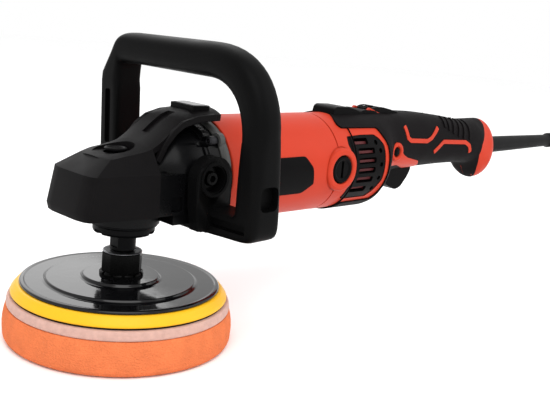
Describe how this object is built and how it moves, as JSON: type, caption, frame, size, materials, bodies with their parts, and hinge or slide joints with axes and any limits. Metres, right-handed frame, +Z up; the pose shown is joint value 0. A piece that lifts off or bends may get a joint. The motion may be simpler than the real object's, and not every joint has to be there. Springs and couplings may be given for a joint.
{
  "type": "rotary polisher",
  "caption": "Corded rotary polisher: bevel gear head with a foam pad below, motor barrel, loop handle over the head and a straight rear grip with trigger.",
  "frame": {"origin": "centre of the foam pad's working face, on the spindle axis", "axes": "+Z up along the spindle, +X along the motor axis towards the rear grip and the lead, +Y to the side away from the lock-on button"},
  "size_m": [0.811, 0.2597, 0.2114],
  "materials": {
    "foam_orange": "open-cell polishing foam, matt",
    "velour_white": "hook-and-loop velour, matt",
    "plate_yellow": "moulded soft polyurethane, satin",
    "gloss_black": "gloss moulded",
    "hub_black": "black oxide, polished edges",
    "steel": "ground",
    "black_metal": "gloss powder coat on die-cast aluminium",
    "grey_metal": "die-cast, satin",
    "black_rubber": "soft-touch overmould, fine spark texture",
    "silver_plastic": "silver paint",
    "black_plastic": "glass-filled nylon, fine texture",
    "handle_black": "glass-filled nylon, fine texture",
    "red_plastic": "glass-filled nylon, satin gloss",
    "copper": "enamelled winding",
    "lamination": "varnished electrical steel",
    "white_plastic": "moulded",
    "board_green": "printed circuit board",
    "cord_rubber": "rubber mains lead, matt",
    "brass": "pressed",
    "carbon": "carbon graphite"
  },
  "bodies": {
    "body": {"spindle_bearing_cap": "black_metal", "lower_bearing": "steel", "upper_bush": "steel", "gear_housing": "black_metal", "front_bearing": "steel", "gearcase_flange": "grey_metal", "head_cover": "black_rubber", "top_badge": "silver_plastic", "side_handle": "handle_black", "handle_bolt_left": "steel", "handle_bolt_right": "steel", "motor_housing": "red_plastic", "field_coil_upper": "copper", "field_coil_lower": "copper", "stator_core": "lamination", "rear_bearing": "steel", "saddle_cover": "black_plastic", "speed_board": "board_green", "switch_module": "black_plastic", "rear_end_cap": "red_plastic", "cable_clamp": "black_plastic", "cable_sleeve": "cord_rubber", "cord_run": "cord_rubber", "cord_tail": "cord_rubber", "cord_coil": "cord_rubber", "plug": "cord_rubber", "gear_screw_1": "steel", "gear_screw_2": "steel", "gear_screw_3": "steel", "gear_screw_4": "steel", "shell_screw_1": "steel", "shell_screw_2": "steel", "brush_holder_left": "brass", "carbon_brush_left": "carbon", "brush_cap_left": "black_plastic", "handle_shell_left": "red_plastic", "grip_skin_left": "black_rubber", "vent_grille_left": "black_plastic", "brush_holder_right": "brass", "carbon_brush_right": "carbon", "brush_cap_right": "black_plastic", "handle_shell_right": "red_plastic", "grip_skin_right": "black_rubber", "vent_grille_right": "black_plastic"},
    "spindle_assembly": {"spindle": "steel", "crown_gear": "steel", "plate_hub": "hub_black", "drive_disc": "gloss_black", "backing_plate": "plate_yellow", "velour_disc": "velour_white", "foam_pad": "foam_orange"},
    "armature": {"armature_shaft": "steel", "armature_core": "lamination", "commutator": "copper", "cooling_fan": "black_plastic", "pinion": "steel"},
    "trigger": {"trigger": "black_plastic"},
    "lock_on": {"lock_on_button": "black_plastic"},
    "spindle_lock": {"spindle_lock_button": "black_plastic"},
    "speed_dial": {"speed_dial": "white_plastic"}
  },
  "joints": [
    {"name": "spindle_spin", "type": "hinge", "parent": "body", "child": "spindle_assembly", "pos_m": [0, 0, 0.1165], "axis": [0, 0, 1], "continuous": true},
    {"name": "armature_spin", "type": "hinge", "parent": "body", "child": "armature", "pos_m": [0, 0, 0.1165], "axis": [1, 0, 0], "continuous": true},
    {"name": "trigger_pull", "type": "hinge", "parent": "body", "child": "trigger", "pos_m": [0.266, 0, 0.1075], "axis": [0, -1, 0], "range_deg": [0, 8], "stiffness_Nm_per_rad": 1.5, "springref_deg": -5.73},
    {"name": "lock_on_press", "type": "slide", "parent": "body", "child": "lock_on", "axis": [0, 1, 0], "range_m": [0, 0.003], "stiffness_N_per_m": 400, "springref_m": -0.001},
    {"name": "spindle_lock_press", "type": "slide", "parent": "body", "child": "spindle_lock", "axis": [0, 0, -1], "range_m": [0, 0.003], "stiffness_N_per_m": 600, "springref_m": -0.001},
    {"name": "speed_dial_turn", "type": "hinge", "parent": "body", "child": "speed_dial", "pos_m": [0.25, 0, 0.149], "axis": [0, 1, 0], "range_deg": [-135, 135]}
  ],
  "couplings": [
    {"joint": "armature_spin", "follows": "spindle_spin", "ratio": 4}
  ]
}
